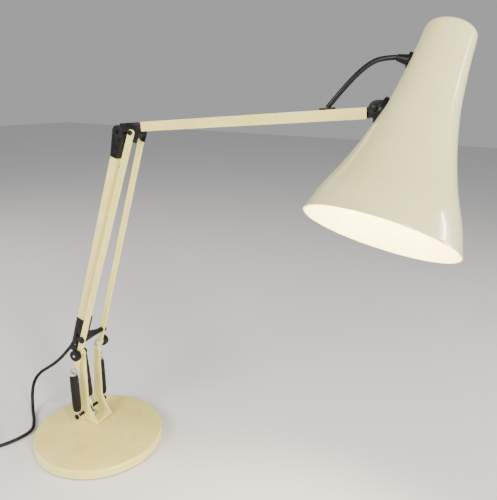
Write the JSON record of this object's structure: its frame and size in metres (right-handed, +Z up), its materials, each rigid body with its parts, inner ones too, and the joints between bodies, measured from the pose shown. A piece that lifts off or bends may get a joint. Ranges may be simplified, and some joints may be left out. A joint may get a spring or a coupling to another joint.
{
  "type": "architect desk lamp",
  "caption": "Counterbalanced desk lamp with a round weighted base, a parallel-link arm in two parts and a bell-shaped tilting shade.",
  "frame": {"origin": "middle of the underside of the round base, on the surface that the lamp stands on", "axes": "+Z up, +X the way the arm reaches, towards the shade"},
  "size_m": [0.766, 0.2607, 0.62],
  "materials": {
    "cream_paint": "satin cream stove enamel",
    "black_plastic": "fine moulded satin",
    "black_rubber": "matt",
    "black_steel": "black semi-gloss",
    "zinc_steel": "zinc plated",
    "cast_iron": "rough cast",
    "rubber_pad": "matt ribbed",
    "cord_sheath": "smooth satin sheath",
    "brass_pins": "polished",
    "holder_plastic": "moulded",
    "bulb_metal": "bright",
    "lit_glass": "opal, lit"
  },
  "bodies": {
    "base": {"base_cover": "cream_paint", "base_weight": "cast_iron", "base_pad": "rubber_pad", "friction_washer": "black_plastic", "swivel_washer": "zinc_steel", "swivel_bolt": "zinc_steel", "swivel_nut": "zinc_steel", "mains_cord_floor": "cord_sheath", "cord_coil": "cord_sheath", "plug_body": "black_plastic", "plug_pins": "brass_pins"},
    "fork": {"fork_bracket": "cream_paint", "spring_anchor_rod": "black_steel", "rod_clips": "black_steel", "near_pivot_bolt": "zinc_steel", "far_pivot_bolt": "zinc_steel", "pivot_washers": "zinc_steel", "near_spring": "zinc_steel", "near_sleeve": "black_rubber", "far_spring": "zinc_steel", "far_sleeve": "black_rubber", "centre_spring": "zinc_steel", "centre_sleeve": "black_rubber"},
    "near_knob": {"near_knob": "black_plastic"},
    "far_knob": {"far_knob": "black_plastic"},
    "lower_arm": {"near_bar": "cream_paint", "far_bar": "cream_paint", "arm_spreader": "black_plastic", "spreader_caps": "black_plastic", "tail_pins": "zinc_steel", "elbow_bolt": "black_steel"},
    "bell_crank": {"bell_crank": "black_steel", "crank_pins": "black_steel"},
    "rear_link": {"rear_tube": "cream_paint", "lower_fitting": "black_plastic", "strain_relief": "black_rubber", "upper_fitting": "black_plastic", "link_screws": "black_steel", "inner_cord_lower": "cord_sheath", "mains_cord_drop": "cord_sheath"},
    "upper_arm": {"elbow_moulding": "black_plastic", "top_link_pin": "black_steel", "upper_tube": "cream_paint", "cord_grommet": "black_rubber", "inner_cord_upper": "cord_sheath", "arm_end_plug": "black_plastic", "head_cord": "cord_sheath"},
    "head_knuckle": {"head_knuckle": "black_plastic", "tilt_bolt": "black_steel", "swivel_disc": "black_steel", "swivel_stud": "zinc_steel", "stud_nut": "zinc_steel"},
    "shade": {"shade": "cream_paint", "shade_saddle": "black_plastic", "cord_gland": "black_plastic", "lampholder": "holder_plastic", "bulb_cap": "bulb_metal", "bulb_glass": "lit_glass", "switch_body": "black_plastic"},
    "switch_button": {"switch_button": "black_plastic"}
  },
  "joints": [
    {"name": "base_swivel", "type": "hinge", "parent": "base", "child": "fork", "pos_m": [-0.0343, 0.0232, 0.017], "axis": [0, 0, 1], "range_deg": [-120, 120], "deforming": ["mains_cord_drop"]},
    {"name": "lower_arm_tilt", "type": "hinge", "parent": "fork", "child": "lower_arm", "pos_m": [-0.0303, 0.0232, 0.1434], "axis": [0, 1, 0], "range_deg": [-30, 35], "deforming": ["near_spring", "near_sleeve", "far_spring", "far_sleeve", "centre_spring", "centre_sleeve", "mains_cord_drop"]},
    {"name": "elbow_tilt", "type": "hinge", "parent": "lower_arm", "child": "upper_arm", "pos_m": [0.08139, 0.0232, 0.48858], "axis": [0, 1, 0], "range_deg": [-35, 40], "deforming": ["mains_cord_drop"]},
    {"name": "crank_turn", "type": "hinge", "parent": "lower_arm", "child": "bell_crank", "pos_m": [-0.0303, 0.0232, 0.1434], "axis": [0, 1, 0], "range_deg": [-36, 41], "deforming": ["centre_spring", "centre_sleeve", "mains_cord_drop"]},
    {"name": "link_turn", "type": "hinge", "parent": "bell_crank", "child": "rear_link", "pos_m": [-0.0549, 0.0232, 0.14279], "axis": [0, 1, 0], "range_deg": [-41, 36], "deforming": ["mains_cord_drop"]},
    {"name": "head_tilt", "type": "hinge", "parent": "upper_arm", "child": "head_knuckle", "pos_m": [0.39554, 0.0232, 0.52983], "axis": [0, 1, 0], "range_deg": [-65, 20], "deforming": ["head_cord"]},
    {"name": "shade_swivel", "type": "hinge", "parent": "head_knuckle", "child": "shade", "pos_m": [0.39874, 0.0232, 0.52843], "axis": [0.9164, 0, -0.4003], "range_deg": [-57, 112], "deforming": ["head_cord"]},
    {"name": "near_knob_turn", "type": "hinge", "parent": "fork", "child": "near_knob", "pos_m": [-0.0303, -0.0074, 0.1434], "axis": [0, 1, 0], "range_deg": [-45, 360]},
    {"name": "far_knob_turn", "type": "hinge", "parent": "fork", "child": "far_knob", "pos_m": [-0.0303, 0.0538, 0.1434], "axis": [0, 1, 0], "range_deg": [-360, 45]},
    {"name": "switch_press", "type": "slide", "parent": "shade", "child": "switch_button", "axis": [0.145, 0.4505, 0.881], "range_m": [-0.0025, 0], "stiffness_N_per_m": 400, "springref_m": 0.001}
  ],
  "couplings": [
    {"joint": "crank_turn", "follows": "elbow_tilt", "ratio": 1},
    {"joint": "link_turn", "follows": "elbow_tilt", "ratio": -1}
  ]
}
